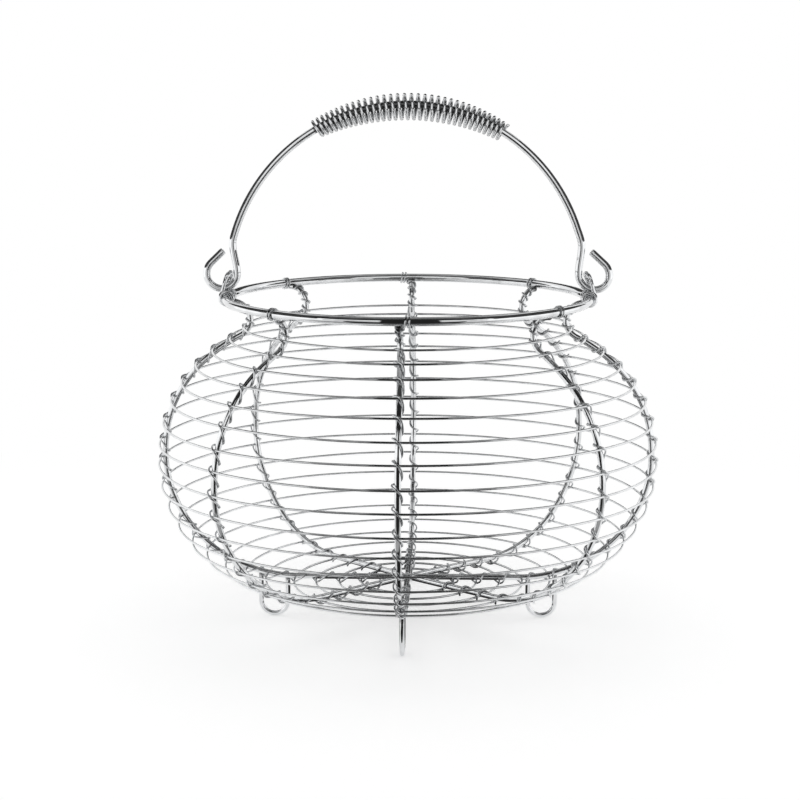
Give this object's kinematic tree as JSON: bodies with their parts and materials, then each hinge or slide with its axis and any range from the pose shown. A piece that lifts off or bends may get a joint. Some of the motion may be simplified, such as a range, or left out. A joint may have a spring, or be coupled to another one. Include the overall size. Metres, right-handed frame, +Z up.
{
  "type": "wire salad basket",
  "caption": "Bulbous chromed wire salad basket with thin rings lashed to stout ribs, looped feet, a heavy rim and a swinging bail handle with a coiled wire grip.",
  "frame": {"origin": "on the floor under the middle of the basket, at the centre of the four feet", "axes": "+Z up along the basket's axis, -Y out through the front rib, +X out through the right ear"},
  "size_m": [0.254, 0.2542, 0.2647],
  "materials": {
    "rim_chrome": "bright plated",
    "rib_chrome": "bright plated",
    "ring_chrome": "bright plated",
    "binding_chrome": "plated, a little duller",
    "foot_chrome": "bright plated",
    "ear_chrome": "bright plated",
    "bail_chrome": "bright plated",
    "grip_chrome": "bright plated"
  },
  "bodies": {
    "basket": {"rim_ring": "rim_chrome", "rib_hoop_left_right": "rib_chrome", "rib_back_right": "rib_chrome", "rib_back": "rib_chrome", "rib_back_left": "rib_chrome", "rib_front_left": "rib_chrome", "rib_front": "rib_chrome", "rib_front_right": "rib_chrome", "wall_ring_01": "ring_chrome", "wall_ring_02": "ring_chrome", "wall_ring_03": "ring_chrome", "wall_ring_04": "ring_chrome", "wall_ring_05": "ring_chrome", "wall_ring_06": "ring_chrome", "wall_ring_07": "ring_chrome", "wall_ring_08": "ring_chrome", "wall_ring_09": "ring_chrome", "wall_ring_10": "ring_chrome", "wall_ring_11": "ring_chrome", "wall_ring_12": "ring_chrome", "wall_ring_13": "ring_chrome", "wall_ring_14": "ring_chrome", "wall_ring_15": "ring_chrome", "wall_ring_16": "ring_chrome", "wall_ring_17": "ring_chrome", "base_ring_1": "ring_chrome", "base_ring_2": "ring_chrome", "base_ring_3": "ring_chrome", "base_ring_4": "ring_chrome", "binding_right": "binding_chrome", "binding_back_right": "binding_chrome", "binding_back": "binding_chrome", "binding_back_left": "binding_chrome", "binding_left": "binding_chrome", "binding_front_left": "binding_chrome", "binding_front": "binding_chrome", "binding_front_right": "binding_chrome", "foot_right": "foot_chrome", "foot_back": "foot_chrome", "foot_left": "foot_chrome", "foot_front": "foot_chrome", "ear_right": "ear_chrome", "ear_left": "ear_chrome"},
    "bail": {"bail_handle": "bail_chrome", "grip_coil": "grip_chrome"}
  },
  "joints": [
    {"name": "bail_swing", "type": "hinge", "parent": "basket", "child": "bail", "pos_m": [0, 0, 0.1682], "axis": [1, 0, 0], "range_deg": [-85, 85]}
  ]
}
